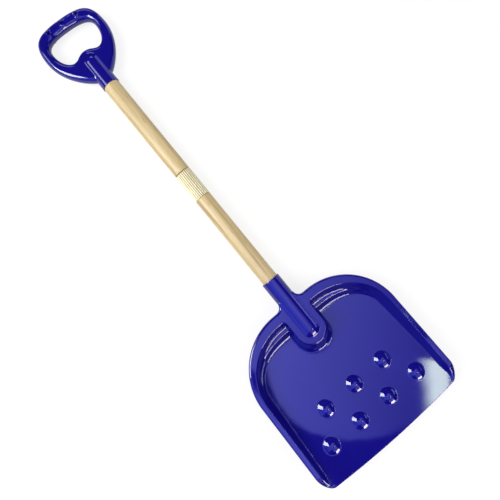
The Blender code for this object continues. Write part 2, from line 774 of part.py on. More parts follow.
clear_scene()
PARTS = new_collection("kids_snow_shovel", bpy.context.scene.collection)
TOOLS = new_collection("cutters", bpy.context.scene.collection)
ROOT = bpy.data.objects.new("shovel_root", None)
bpy.context.scene.collection.objects.link(ROOT)
BLUE = new_material("blue_plastic", (0.007, 0.005, 0.223), 0.12)
WOOD = new_material("turned_wood", (0.68, 0.50, 0.28), 0.45)
CREAM = new_material("cream_plastic", (0.86, 0.78, 0.50), 0.35)
STEEL = new_material("screw_steel", (0.55, 0.55, 0.56), 0.35, 1.0)

blade_part = make_blade()
lower_part = make_lower_shaft()
make_sleeve()
upper_part = make_upper_shaft()
grip_part = make_grip()
make_screw("blade_screw", SOCKET_MOUTH_Y - SCREW_INSET, SOCKET_RADIUS, (blade_part, lower_part))
make_screw("grip_screw", GRIP_MOUTH_Y + SCREW_INSET, GRIP_SOCKET_RADIUS, (grip_part, upper_part))
lay_down()
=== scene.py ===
"""Looks of the kids snow shovel: smooth mouldings, turned wood, ribbed sleeve, screws and a plain studio.

Units are metres. Pieces are drawn in the shaft's own frame: +Y runs up the shaft from the middle of the
cutting edge, Z is 0 on the shaft's axis and +Z is the side that carries the snow.
"""

import json
import math

import bmesh
import bpy
import numpy as np
from mathutils import Matrix, Vector


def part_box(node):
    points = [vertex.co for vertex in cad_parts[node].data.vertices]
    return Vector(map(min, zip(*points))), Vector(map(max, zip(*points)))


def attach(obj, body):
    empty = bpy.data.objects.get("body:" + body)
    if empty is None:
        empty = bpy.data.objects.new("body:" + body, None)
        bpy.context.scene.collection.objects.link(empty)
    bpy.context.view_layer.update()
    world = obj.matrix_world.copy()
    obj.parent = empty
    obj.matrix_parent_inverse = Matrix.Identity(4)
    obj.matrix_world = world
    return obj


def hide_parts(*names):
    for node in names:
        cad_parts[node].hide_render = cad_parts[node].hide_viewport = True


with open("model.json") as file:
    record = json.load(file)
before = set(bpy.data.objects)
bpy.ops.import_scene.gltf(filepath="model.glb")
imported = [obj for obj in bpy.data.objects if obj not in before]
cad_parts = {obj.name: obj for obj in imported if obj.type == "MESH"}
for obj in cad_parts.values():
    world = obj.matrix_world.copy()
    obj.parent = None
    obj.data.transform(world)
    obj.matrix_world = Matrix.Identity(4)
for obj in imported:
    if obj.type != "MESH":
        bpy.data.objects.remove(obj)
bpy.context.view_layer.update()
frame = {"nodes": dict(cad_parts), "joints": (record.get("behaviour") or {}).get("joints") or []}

# Shaft halves and sleeve
SHAFT_RADIUS = 0.012
LOWER_EXPOSED_LENGTH = 0.151
UPPER_EXPOSED_LENGTH = 0.160
JOINT_TENON_RADIUS = 0.008
JOINT_TENON_LENGTH = 0.0215
GRIP_TENON_RADIUS = 0.0105
GRIP_TENON_LENGTH = 0.038
FIT_GAP = 0.0003
TIGHT_CHAMFER = 0.0003
OPEN_CHAMFER = 0.0012
PARTING_GAP = 0.0008
SLEEVE_LENGTH = 0.045
SLEEVE_RADIUS = 0.0121
SLEEVE_RIBS = 24
RIB_DEPTH = 0.0015
RIB_STEPS = 10
SLEEVE_END_ROUND = 0.0007
GROOVE_SLOPE = 1.4
GROOVE_NARROWING = 0.1

# Scoop in plan
BLADE_LENGTH = 0.2465
FRONT_HALF_WIDTH = 0.1274
BACK_HALF_WIDTH = 0.1235
BACK_CORNER_RADIUS = 0.092
FRONT_CORNER_WIDTH = 0.0155
FRONT_CORNER_LENGTH = 0.031
EDGE_BOW = 0.0042
EDGE_BOW_FADE = 0.06

# Scoop in section
WALL = 0.0026
RIM_HEIGHT = 0.008
FRONT_DEPTH = 0.0095
FLOOR_SLOPE = math.radians(5.8)
SIDE_FLANGE = 0.0075
BACK_FLANGE = 0.0134
WALL_BASE_RUN = 0.003
SIDE_WALL_LEAN = 0.31
BACK_WALL_LEAN = 1.015
SIDE_ROUNDS = (0.20, 0.30)
SHELF_RUN = (0.42, 0.50)
SHELF_FALL = 0.46
UPPER_ROUNDS = (0.15, 0.30)
LOWER_ROUNDS = (0.15, 0.55)
CORNER_LEAST_FLANGE = 0.0045
LIP_RADIUS = 0.0032
LIP_SKIRT = 0.003
MOST_UNDERCUT = 0.009

# Socket, tongue and domes of the scoop
SOCKET_NECK = 0.043
SOCKET_RADIUS = 0.0142
SOCKET_FILLET = 0.0105
SHAFT_INSERTION = 0.088
TONGUE_HALF_WIDTH = 0.0220
TONGUE_LENGTH = 0.0685
TONGUE_DEPTH = 0.036
TONGUE_SIDE_FLARE = 0.0060
TONGUE_CORNER = 0.007
TONGUE_TIP_FLARE = 0.0215
TONGUE_EDGE_REACH = 0.0035
FOOT_FILLET_POWER = 9.0
TUBE_FILLET_REACH = 0.004
DOME_HALF_WIDTH = 0.0116
DOME_HALF_LENGTH = 0.0128
DOME_HEIGHT = 0.0050
DOME_PITCH = 0.054
DOME_ROWS = ((0.0505, 4), (0.0942, 3))
DOME_FILLET_REACH = 0.0012

# D grip
GRIP_LENGTH = 0.118
GRIP_HALF_WIDTH = 0.0515
GRIP_WIDEST = 0.040
GRIP_SHOULDER_REACH = 0.040
GRIP_SHOULDER_DROP = 0.032
GRIP_THROAT = 0.105
GRIP_THROAT_HALF_WIDTH = 0.00975
GRIP_CHEEK_REACH = 0.030
GRIP_THROAT_REACH = 0.020
GRIP_THROAT_ANGLE = math.radians(28)
BAR_DEPTH = 0.018
HOLE_TOP_REACH = 0.026
HOLE_HALF_WIDTH = 0.037
HOLE_WIDEST = 0.035
HOLE_SIDE_RISE = 0.013
HOLE_SIDE_DROP = 0.018
HOLE_LOBE_HALF_SPACING = 0.0205
HOLE_LOBE = 0.0630
HOLE_LOBE_REACH = 0.007
HOLE_HUMP = 0.0567
HOLE_HUMP_REACH = 0.011
GRIP_HALF_THICKNESS = 0.0085
GRIP_ROUND = 0.0078
GRIP_ROUND_POWER = 2.2
GRIP_ROUND_MOST_SHARE = 0.45
GRIP_SOCKET_RADIUS = 0.013
GRIP_SOCKET_LENGTH = 0.054
GRIP_FILLET_REACH = 0.0015
RIDGE_COUNT = 3
RIDGE_SPACING = 0.0235
RIDGE_RISE = 0.0021
RIDGE_WIDTH = 0.0024
RIDGE_TURN_AWAY = 0.50
RIDGE_TURN_IN = 0.85
RIDGE_FADE = 0.3
RIDGE_REACH = 1.35 * BAR_DEPTH
RIDGE_END_FADE = 0.35 * BAR_DEPTH
THROAT_EDGE = math.radians(60)

# Mouth of each socket
MOUTH_ROUND = 0.0007
TUBE_INSET = 0.0004
TUBE_OVERLAP = 0.0012

# Mesh fineness
CORNER_ROWS = 32
SIDE_ROWS = 110
ARC_ROWS = 110
NECK_ROWS = 14
INNER_HALF_WIDTH = 0.010
INNER_COLUMNS = 16
OUTER_COLUMNS = 124
COLUMN_CROWDING = 0.6
SLOPE_STEP = 0.0001
TINY_LENGTH = 0.00001
TINY_AREA = 1e-12
ROUND_STEPS = 96
BEND_STEPS = 8
SUPPORT_STEP = 0.0003
SUPPORTED_RUN = 0.0012
GRIP_ARC_STEPS = 48
GRIP_THROAT_STEPS = 20
GRIP_ROUND_RINGS = 9
GRIP_FLAT_RINGS = 10

# Camera, fitted to the photograph, in the shaft's frame
CAMERA_PLACE = Vector((-0.0503, 0.3412, 0.6101))
CAMERA_TURN = Vector((0.100, 5.139, 0.018))
SHAFT_LEAN = math.radians(39.227)
FOCAL_PIXELS = 430.0
PICTURE_PIXELS = 500.0
SENSOR_WIDTH = 36.0

# Studio
WHITE = (1.0, 1.0, 1.0)
FLOOR_SIZE = 8.0
FLOOR_GLOW = 0.80
FLOOR_SHADED = 0.25
FLOOR_BOUNCE = 0.75
WORLD_LEVEL = 0.45
CEILING_HEIGHT = 1.2
WINDOW_HEIGHT = 1.14
WINDOW_TURN = math.radians(50.8)

# Places that the lights face, in the shaft's frame
DOMES = (0.0, 0.07, 0.0)
MIDDLE = (0.0, 0.4, 0.0)
GRIP = (0.0, 0.66, 0.0)

# Places along the shaft
TONGUE_TIP_Y = BLADE_LENGTH - TONGUE_LENGTH
SOCKET_MOUTH_Y = BLADE_LENGTH + SOCKET_NECK
SOCKET_FLOOR_Y = SOCKET_MOUTH_Y - SHAFT_INSERTION
SLEEVE_START_Y = SOCKET_MOUTH_Y + LOWER_EXPOSED_LENGTH
SLEEVE_END_Y = SLEEVE_START_Y + SLEEVE_LENGTH
GRIP_MOUTH_Y = SLEEVE_END_Y + UPPER_EXPOSED_LENGTH
GRIP_TOP_Y = GRIP_MOUTH_Y + GRIP_LENGTH
GRIP_SOCKET_END_Y = GRIP_MOUTH_Y + GRIP_SOCKET_LENGTH - GRIP_SOCKET_RADIUS
FLOOR_FALL = math.tan(FLOOR_SLOPE)


def shaft_frame():
    """Where the shaft's own frame lies: along the take-apart joint, through the middle of the sleeve."""
    along = Vector(frame["joints"][0]["axis"]).normalized()
    across = Vector((1.0, 0.0, 0.0))
    turn = Matrix((across, along, across.cross(along))).transposed().to_4x4()
    low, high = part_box("coupling_sleeve")
    back = Matrix.Translation((0.0, -(SLEEVE_START_Y + SLEEVE_END_Y) / 2, 0.0))
    return Matrix.Translation((low + high) / 2) @ turn @ back


SHAFT_FRAME = shaft_frame()


# Pieces

def add_piece(name, mesh, material, body, node):
    """A piece drawn in the shaft's frame that stands for a node and rides on its body."""
    piece = bpy.data.objects.new(name, mesh)
    bpy.context.scene.collection.objects.link(piece)
    piece.matrix_world = SHAFT_FRAME
    mesh.materials.append(material)
    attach(piece, body)
    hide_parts(node)


def mesh_of(name, points, faces):
    mesh = bpy.data.meshes.new(name)
    mesh.from_pydata([tuple(point) for point in points], [], faces)
    mesh.shade_smooth()
    return mesh


def grid_faces(index):
    """Quads between neighbours in a 2D array of vertex numbers."""
    corners = (index[:-1, :-1], index[:-1, 1:], index[1:, 1:], index[1:, :-1])
    return np.stack(corners, axis=-1).reshape(-1, 4).tolist()


def numbered(points, start):
    """Vertex numbers from start on for a grid of points."""
    return start + np.arange(points[..., 0].size).reshape(points.shape[:-1])


def supported(profile):
    """The same chain with more points close to the ends of its long runs, so that these shade straight."""
    chain = [profile[0]]
    for start, end in zip(profile, profile[1:]):
        length = math.dist(start, end)
        if length > SUPPORTED_RUN:
            for share in (SUPPORT_STEP / length, 1 - SUPPORT_STEP / length):
                chain.append((mix(start[0], end[0], share), mix(start[1], end[1], share)))
        chain.append(end)
    return chain


def turned(profile):
    """Points and faces of (radius, y) pairs turned about the shaft's axis. An end at radius 0 is closed."""
    angles = np.arange(ROUND_STEPS) * 2 * math.pi / ROUND_STEPS
    points = []
    rings = []
    for radius, y in supported(profile):
        start = len(points)
        if radius == 0.0:
            points.append((0.0, y, 0.0))
            rings.append(np.full(ROUND_STEPS + 1, start))
            continue
        points.extend((radius * math.sin(a), y, radius * math.cos(a)) for a in angles)
        rings.append(start + np.append(np.arange(ROUND_STEPS), 0))
    faces = [list(dict.fromkeys(face)) for face in grid_faces(np.array(rings))]
    return points, faces


def rounded(profile, radius):
    """A chain of (radius, y) pairs with its inner corners cut by short curves."""
    steps = BEND_STEPS // 2
    points = [Vector(point) for point in profile]
    chain = [points[0]]
    for before, corner, after in zip(points, points[1:], points[2:]):
        start = corner + (before - corner).normalized() * min(radius, (before - corner).length / 2)
        end = corner + (after - corner).normalized() * min(radius, (after - corner).length / 2)
        for step in range(steps + 1):
            t = step / steps
            chain.append(start * (1 - t) ** 2 + corner * 2 * t * (1 - t) + end * t**2)
    chain.append(points[-1])
    return [tuple(point) for point in chain]


def smooth_max(a, b, reach):
    """The larger of two heights, rounded where they come within reach of each other."""
    near = np.maximum(reach - np.abs(a - b), 0.0)
    return np.maximum(a, b) + near**2 / (4 * reach)


def mix(a, b, share):
    return a + (b - a) * share


def smooth_step(share):
    return share * share * (3 - 2 * share)


# Scoop surface

def wall_fall(run_share, rounds):
    """Share of a wall's height lost over a share of its run: straight, with a round top and foot."""
    top_round, foot_round = rounds
    steepness = 1 / (1 - (top_round + foot_round) / 2)
    top = steepness * run_share**2 / (2 * top_round)
    straight = steepness * (run_share - top_round / 2)
    foot = 1 - steepness * (1 - run_share) ** 2 / (2 * foot_round)
    return np.where(run_share < top_round, top, np.where(run_share < 1 - foot_round, straight, foot))


def back_fall(run_share):
    """The same for the back wall, which has a narrow shelf part of the way down."""
    start, end = SHELF_RUN
    upper = wall_fall(np.clip(run_share / start, 0.0, 1.0), UPPER_ROUNDS)
    lower = wall_fall(np.clip((run_share - end) / (1 - end), 0.0, 1.0), LOWER_ROUNDS)
    return mix(lower, upper, SHELF_FALL)


def scoop_drop(x, y):
    """Depth of the open scoop under its rim plane."""
    depth = FRONT_DEPTH + y * FLOOR_FALL
    arc_x = BACK_HALF_WIDTH - BACK_CORNER_RADIUS
    arc_y = BLADE_LENGTH - BACK_CORNER_RADIUS
    corner_y = EDGE_BOW + FRONT_CORNER_LENGTH
    past = np.maximum(y - arc_y, 0.0)
    radial = np.hypot(np.maximum(np.abs(x) - arc_x, 0.0), past)
    sine = past / np.maximum(radial, SLOPE_STEP)
    taper = np.clip((y - corner_y) / (arc_y - corner_y), 0.0, 1.0)
    turned_in = np.clip((corner_y - y) / FRONT_CORNER_LENGTH, 0.0, 1.0)
    rise = smooth_step(1 - turned_in)
    drawn_in = FRONT_CORNER_WIDTH * (1 - np.sqrt(1 - turned_in**2))
    half_width = mix(FRONT_HALF_WIDTH, BACK_HALF_WIDTH, taper) - drawn_in
    inset = np.where(y > arc_y, BACK_CORNER_RADIUS - radial, half_width - np.abs(x))

    flange = mix(mix(CORNER_LEAST_FLANGE, SIDE_FLANGE, rise), BACK_FLANGE, sine**2)
    lean = mix(SIDE_WALL_LEAN, BACK_WALL_LEAN, sine**2)
    rim_y = np.where(y > arc_y, arc_y + BACK_CORNER_RADIUS * sine, y)
    fall = -FLOOR_FALL * sine
    rim_depth = rise * (FRONT_DEPTH + rim_y * FLOOR_FALL)
    height = (rim_depth + (flange + WALL_BASE_RUN) * fall) / (1 - lean * fall)
    run = WALL_BASE_RUN + lean * height
    run_share = np.clip((inset - flange) / run, 0.0, 1.0)
    lost = mix(wall_fall(run_share, SIDE_ROUNDS), back_fall(run_share), sine**2)
    return depth * (1 - rise * (1 - lost))


def tongue_drop(x, y):
    """Depth of the tongue's face under the rim plane: a U in plan that widens as it goes down."""
    across = np.abs(x)
    tip_shift = TONGUE_SIDE_FLARE - TONGUE_TIP_FLARE
    corner = np.clip((y - BLADE_LENGTH + BACK_FLANGE) / TONGUE_CORNER + 1, 0.0, 1.0)
    half_width = TONGUE_HALF_WIDTH + TONGUE_CORNER * (1 - np.sqrt(1 - corner**2))
    side_share = np.maximum((across - half_width) / TONGUE_SIDE_FLARE, -TONGUE_EDGE_REACH / TONGUE_DEPTH)
    ahead = y - TONGUE_TIP_Y - TONGUE_HALF_WIDTH
    square = tip_shift**2 - TONGUE_SIDE_FLARE**2
    linear = 2 * (ahead * tip_shift + TONGUE_HALF_WIDTH * TONGUE_SIDE_FLARE)
    constant = ahead**2 + across**2 - TONGUE_HALF_WIDTH**2
    root = np.sqrt(np.maximum(linear**2 - 4 * square * constant, 0.0))
    tip_share = 2 * constant / np.maximum(linear + root, TONGUE_HALF_WIDTH * SLOPE_STEP)
    share = np.where(ahead >= side_share * tip_shift, side_share, tip_share)
    return smooth_max(share * TONGUE_DEPTH, 0.0, TONGUE_EDGE_REACH)


def tube_height(x, radius, past_end):
    """Height of a tube's upper side with a round end, falling away steeply outside it."""
    inside = radius**2 - x**2 - np.maximum(past_end, 0.0) ** 2
    return np.where(inside > 0, np.sqrt(np.maximum(inside, 0.0)), inside / radius)


def scoop_height(x, y):
    """Height of the moulding's upper face, with the tongue, the tube and the domes blended in."""
    drops = (np.maximum(scoop_drop(x, y), TINY_LENGTH), np.maximum(tongue_drop(x, y), TINY_LENGTH))
    power = FOOT_FILLET_POWER
    lesser = sum((drop / TINY_LENGTH) ** -power for drop in drops) ** (-1 / power) * TINY_LENGTH
    height = RIM_HEIGHT - lesser
    tube = tube_height(x, SOCKET_RADIUS, SOCKET_FLOOR_Y - y)
    height = smooth_max(height, tube, TUBE_FILLET_REACH)
    floor = RIM_HEIGHT - FRONT_DEPTH - y * FLOOR_FALL
    for row_y, count in DOME_ROWS:
        for i in range(count):
            row_x = (i - (count - 1) / 2) * DOME_PITCH
            inside = 1 - ((x - row_x) / DOME_HALF_WIDTH) ** 2 - ((y - row_y) / DOME_HALF_LENGTH) ** 2
            height = smooth_max(height, floor + DOME_HEIGHT * inside, DOME_FILLET_REACH)
    return height


def scoop_slope(x, y):
    step = SLOPE_STEP
    along_x = (scoop_height(x + step, y) - scoop_height(x - step, y)) / (2 * step)
    along_y = (scoop_height(x, y + step) - scoop_height(x, y - step)) / (2 * step)
    return along_x, along_y


def rim_stations():
    """Places, outward directions and rise along the right side of the rim, from cutting edge to neck."""
    stations = []
    centre_x = FRONT_HALF_WIDTH - FRONT_CORNER_WIDTH
    centre_y = EDGE_BOW + FRONT_CORNER_LENGTH
    for angle in np.linspace(math.pi / 2, 0.0, CORNER_ROWS, endpoint=False):
        sine, cosine = math.sin(angle), math.cos(angle)
        out = Vector((cosine / FRONT_CORNER_WIDTH, -sine / FRONT_CORNER_LENGTH)).normalized()
        x = centre_x + FRONT_CORNER_WIDTH * cosine
        y = centre_y - FRONT_CORNER_LENGTH * sine
        stations.append((x, y, out.x, out.y, smooth_step(1 - sine)))
    arc_x = BACK_HALF_WIDTH - BACK_CORNER_RADIUS
    arc_y = BLADE_LENGTH - BACK_CORNER_RADIUS
    for share in np.linspace(0.0, 1.0, SIDE_ROWS, endpoint=False):
        x = mix(FRONT_HALF_WIDTH, BACK_HALF_WIDTH, share)
        stations.append((x, mix(centre_y, arc_y, share), 1.0, 0.0, 1.0))
    for angle in np.linspace(0.0, math.pi / 2, ARC_ROWS):
        sine, cosine = math.sin(angle), math.cos(angle)
        x = arc_x + BACK_CORNER_RADIUS * cosine
        stations.append((x, arc_y + BACK_CORNER_RADIUS * sine, cosine, sine, 1.0))
    for angle in np.linspace(0.0, math.pi / 2, NECK_ROWS + 1)[1:]:
        sine, cosine = math.sin(angle), math.cos(angle)
        x = SOCKET_RADIUS + SOCKET_FILLET * (1 - sine)
        y = BLADE_LENGTH + SOCKET_FILLET * (1 - cosine)
        stations.append((x, y, sine, cosine, 1.0))
    stations = np.array(stations)
    return stations[:, :2], stations[:, 2:4], stations[:, 4]


def column_shares():
    """Shares of the way from the inner columns to the rim, crowded at both ends."""
    share = np.linspace(0.0, 1.0, OUTER_COLUMNS + 1)[1:]
    return share - COLUMN_CROWDING * np.sin(2 * math.pi * share) / (2 * math.pi)


def scoop_grid(rim_places, outward, rise):
    """Plan points of the upper face: rows across the scoop that end where the rim's roll begins."""
    edge_inset = mix(WALL / 2, LIP_RADIUS, rise)
    end_x, end_y = (rim_places - outward * edge_inset[:, None]).T
    inner = np.linspace(-INNER_HALF_WIDTH, INNER_HALF_WIDTH, INNER_COLUMNS + 1)
    outer = INNER_HALF_WIDTH + (end_x[:, None] - INNER_HALF_WIDTH) * column_shares()
    x = np.hstack((-outer[:, ::-1], np.tile(inner, (len(end_x), 1)), outer))
    fade = np.clip(1 - (end_y - end_y[0]) / EDGE_BOW_FADE, 0.0, 1.0) ** 2
    y = end_y[:, None] - EDGE_BOW * fade[:, None] * (1 - (x / end_x[:, None]) ** 2)
    return x, y


def lip_profiles():
    """(out, down) points round the rolled rim, and as many round the plain cutting edge."""
    quarter = np.linspace(0.0, math.pi / 2, BEND_STEPS + 1)[1:]
    half = np.linspace(0.0, math.pi, BEND_STEPS + 1)
    centre = (LIP_RADIUS - WALL / 2, LIP_RADIUS + LIP_SKIRT - WALL / 2)
    rolled_rim = [(LIP_RADIUS * math.sin(a), LIP_RADIUS * (1 - math.cos(a))) for a in quarter]
    rolled_rim += [(centre[0] + WALL / 2 * math.cos(a), centre[1] + WALL / 2 * math.sin(a)) for a in half]
    rolled_rim.append((LIP_RADIUS - WALL, LIP_RADIUS))
    turn = math.pi / (len(rolled_rim) + 1)
    edge = [(WALL / 2 * math.sin(i * turn), WALL / 2 * (1 - math.cos(i * turn)))
            for i in range(1, len(rolled_rim) + 1)]
    return np.array(rolled_rim), np.array(edge)


def under_face(x, y, height, steep):
    """Points a wall's thickness under the upper face, on every second column."""
    lowest = np.maximum(RIM_HEIGHT - FRONT_DEPTH - y * FLOOR_FALL, height.min()) - WALL
    under = np.maximum(height - np.minimum(WALL * steep, MOST_UNDERCUT), lowest)
    under[:, [0, -1]] = height[:, [0, -1]] - WALL
    under[0] = height[0] - WALL
    return np.stack((x, y, under), axis=-1)[:, ::2]


def rim_rings(border, edge_x, side_outward, side_rise):
    """Rings of points round the open border: the rolled rim and, in front, the plain cutting edge."""
    edge_slope = -2 * EDGE_BOW * edge_x / edge_x[-1] ** 2
    edge_outward = np.stack((-edge_slope, -np.ones_like(edge_x)), axis=-1)
    outward = np.vstack((side_outward[::-1] * (-1, 1), edge_outward, side_outward))
    rise = np.concatenate((side_rise[::-1], np.zeros_like(edge_x), side_rise))
    rings = []
    for rim_point, edge_point in zip(*lip_profiles()):
        out, down = mix(edge_point[:, None], rim_point[:, None], rise)
        rings.append(np.column_stack((border[:, :2] + outward * out[:, None], border[:, 2] - down)))
    return np.array(rings)


def closing_faces(upper, under, rings):
    """Faces from the last ring to the under face, and the flat end inside the socket's tube."""
    rows, columns = upper.shape
    last = rings[-1]
    left, right = last[: rows - 1][::-1], last[rows - 1 + columns:]
    front = last[rows - 1: rows - 1 + columns]
    faces = []
    for i in range(rows - 1):
        lower_left = left[i - 1] if i else front[0]
        lower_right = right[i - 1] if i else front[-1]
        faces.append([left[i], lower_left, under[i, 0], under[i + 1, 0]])
        faces.append([lower_right, right[i], under[i + 1, -1], under[i, -1]])
    for i in range(under.shape[1] - 1):
        faces.append([*front[2 * i: 2 * i + 3], under[0, i + 1], under[0, i]])
    faces.append([*upper[-1], *rings[:, -1], *under[-1, ::-1], *rings[::-1, 0]])
    return faces


def scoop_mesh():
    """The moulding with its socket tube, which is sunk a little where the blended face covers it."""
    rim_places, outward, rise = rim_stations()
    x, y = scoop_grid(rim_places, outward, rise)
    height = scoop_height(x, y)
    slope_x, slope_y = scoop_slope(x, y)
    steep = np.sqrt(1 + slope_x**2 + slope_y**2)
    upper_points = np.stack((x, y, height), axis=-1)
    upper = numbered(upper_points, 0)
    border = np.concatenate((upper[:0:-1, 0], upper[0], upper[1:, -1]))
    under_points = under_face(x, y, height, steep)
    under = numbered(under_points, upper.size)
    ring_points = rim_rings(upper_points.reshape(-1, 3)[border], x[0], outward[1:], rise[1:])
    rings = numbered(ring_points, upper.size + under.size)
    tube_points, tube_faces = turned(socket_profile())
    tube_start = upper.size + under.size + rings.size

    faces = grid_faces(upper)
    faces += [face[::-1] for face in grid_faces(under)]
    faces += [face[::-1] for face in grid_faces(np.vstack((border, rings)))]
    faces += closing_faces(upper, under, rings)
    faces += [[tube_start + i for i in face] for face in tube_faces]
    grids = (upper_points, under_points, ring_points, np.array(tube_points))
    points = np.vstack([grid.reshape(-1, 3) for grid in grids])
    mesh = mesh_of("scoop_moulding", points, faces)
    normals = np.zeros_like(points)
    upper_normals = np.stack((-slope_x / steep, -slope_y / steep, 1 / steep), axis=-1)
    normals[: upper.size] = upper_normals.reshape(-1, 3)
    mesh.normals_split_custom_set_from_vertices(normals.tolist())
    return mesh


def socket_profile():
    """Tube round the lower shaft, from its round end inside the tongue to the mouth and down its bore."""
    sunk = SOCKET_RADIUS - TUBE_INSET
    bore = SHAFT_RADIUS + FIT_GAP
    round_end = [
        (sunk * math.sin(a), SOCKET_FLOOR_Y - sunk * math.cos(a))
        for a in np.linspace(0.0, math.pi / 2, 2 * BEND_STEPS)
    ]
    covered = BLADE_LENGTH + SOCKET_FILLET
    outside = [(sunk, covered - TUBE_OVERLAP), (SOCKET_RADIUS, covered - TUBE_INSET)]
    mouth = [
        (SOCKET_RADIUS, covered + MOUTH_ROUND),
        (SOCKET_RADIUS, SOCKET_MOUTH_Y),
        (bore, SOCKET_MOUTH_Y),
        (bore, SOCKET_FLOOR_Y),
    ]
    return [*round_end, *outside, *rounded(mouth, MOUTH_ROUND), (0.0, SOCKET_FLOOR_Y)]


# Shaft halves and sleeve

def lower_shaft_mesh():
    shoulder = SLEEVE_START_Y - FIT_GAP / 2
    profile = [
        (0.0, SOCKET_FLOOR_Y + FIT_GAP),
        (SHAFT_RADIUS, SOCKET_FLOOR_Y + FIT_GAP),
        (SHAFT_RADIUS, shoulder),
        (JOINT_TENON_RADIUS, shoulder),
        (JOINT_TENON_RADIUS, SLEEVE_START_Y + JOINT_TENON_LENGTH),
        (0.0, SLEEVE_START_Y + JOINT_TENON_LENGTH),
    ]
    return mesh_of("lower_dowel", *turned(rounded(profile, TIGHT_CHAMFER)))


def upper_shaft_mesh():
    tenon_end = SLEEVE_END_Y - JOINT_TENON_LENGTH
    shoulder = GRIP_MOUTH_Y - FIT_GAP
    lower_end = [
        (0.0, tenon_end),
        (JOINT_TENON_RADIUS, tenon_end),
        (JOINT_TENON_RADIUS, SLEEVE_END_Y + PARTING_GAP),
        (SHAFT_RADIUS, SLEEVE_END_Y + PARTING_GAP),
        (SHAFT_RADIUS, mix(SLEEVE_END_Y, GRIP_MOUTH_Y, 0.5)),
    ]
    upper_end = [
        lower_end[-1],
        (SHAFT_RADIUS, shoulder),
        (GRIP_TENON_RADIUS, shoulder),
        (GRIP_TENON_RADIUS, shoulder + GRIP_TENON_LENGTH),
        (0.0, shoulder + GRIP_TENON_LENGTH),
    ]
    profile = rounded(lower_end, OPEN_CHAMFER) + rounded(upper_end, TIGHT_CHAMFER)[1:]
    return mesh_of("upper_dowel", *turned(profile))


def sleeve_mesh():
    """Ribbed band: round lands with rounded grooves between them that run out at both ends."""
    steps = SLEEVE_RIBS * RIB_STEPS
    angle = np.arange(steps) * 2 * math.pi / steps
    groove = np.clip(np.cos(angle * SLEEVE_RIBS) * GROOVE_SLOPE - GROOVE_NARROWING, 0.0, 1.0)
    bore = JOINT_TENON_RADIUS + FIT_GAP
    low = SLEEVE_START_Y + FIT_GAP / 2
    high = SLEEVE_END_Y - FIT_GAP / 2
    side = [(SLEEVE_RADIUS - SLEEVE_END_ROUND, low)]
    for a in np.linspace(0.0, math.pi / 2, BEND_STEPS // 2 + 1)[1:]:
        radius = SLEEVE_RADIUS - SLEEVE_END_ROUND * (1 - math.sin(a))
        side.append((radius, low + SLEEVE_END_ROUND * (1 - math.cos(a))))
    side += [(radius, low + high - y) for radius, y in reversed(side)]
    points = []
    for radius, y in [(bore, low), *supported(side), (bore, high)]:
        ribbed = radius - groove * RIB_DEPTH if radius > bore else np.full(steps, radius)
        points.append(np.column_stack((ribbed * np.sin(angle), np.full(steps, y), ribbed * np.cos(angle))))
    index = np.arange(len(points) * steps).reshape(len(points), steps)
    index = np.hstack((index, index[:, :1]))
    faces = grid_faces(np.vstack((index, index[:1])))
    return mesh_of("ribbed_sleeve", np.vstack(points), faces)


# Grip

def bezier(start, start_reach, end_reach, end, steps):
    """Points of a cubic curve, its last one left out."""
    p0, p3 = np.array(start), np.array(end)
    p1, p2 = p0 + start_reach, p3 + end_reach
    t = np.linspace(0.0, 1.0, steps, endpoint=False)[:, None]
    return p0 * (1 - t) ** 3 + 3 * p1 * t * (1 - t) ** 2 + 3 * p2 * t**2 * (1 - t) + p3 * t**3


def grip_outlines():
    """Outer and hole outline, point for point, down the right side from the middle of the hand bar."""
    throat = (GRIP_THROAT_HALF_WIDTH, -GRIP_THROAT)
    slant = GRIP_THROAT_REACH * np.array((math.cos(GRIP_THROAT_ANGLE), math.sin(GRIP_THROAT_ANGLE)))
    widest = (GRIP_HALF_WIDTH, -GRIP_WIDEST)
    reach, drop = (GRIP_SHOULDER_REACH, 0.0), (0.0, GRIP_SHOULDER_DROP)
    shoulder = bezier((0.0, 0.0), reach, drop, widest, GRIP_ARC_STEPS)
    cheek = bezier(widest, (0.0, -GRIP_CHEEK_REACH), slant, throat, GRIP_ARC_STEPS)
    bottom = np.linspace(throat, (0.0, -GRIP_THROAT), GRIP_THROAT_STEPS + 1)
    hole_side = (HOLE_HALF_WIDTH, -HOLE_WIDEST)
    lobe = (HOLE_LOBE_HALF_SPACING, -HOLE_LOBE)
    hump = (0.0, -HOLE_HUMP)
    top = bezier((0.0, -BAR_DEPTH), (HOLE_TOP_REACH, 0.0), (0.0, HOLE_SIDE_RISE), hole_side, GRIP_ARC_STEPS)
    flank = bezier(hole_side, (0.0, -HOLE_SIDE_DROP), (HOLE_LOBE_REACH, 0.0), lobe, GRIP_ARC_STEPS)
    swell = bezier(lobe, (-HOLE_LOBE_REACH, 0.0), (HOLE_HUMP_REACH, 0.0), hump, GRIP_THROAT_STEPS)
    return np.vstack((shoulder, cheek, bottom)), np.vstack((top, flank, swell, hump))


def mirrored(half):
    """A closed outline from its right half, whose first and last points lie in the middle."""
    return np.vstack((half, half[-2:0:-1] * (-1, 1)))


def distance_to(outline, places):
    """Distance of each place from a closed outline."""
    along = np.roll(outline, -1, axis=0) - outline
    offset = places[:, None, :] - outline
    share = np.clip((offset * along).sum(-1) / np.maximum((along**2).sum(-1), TINY_AREA), 0.0, 1.0)
    return np.sqrt(((offset - share[..., None] * along) ** 2).sum(-1)).min(axis=1)


def edge_round(inset):
    """Share of the grip's half thickness at a distance in from its outline."""
    share = np.clip(1 - inset / GRIP_ROUND, 0.0, 1.0)
    return (1 - share**GRIP_ROUND_POWER) ** (1 / GRIP_ROUND_POWER)


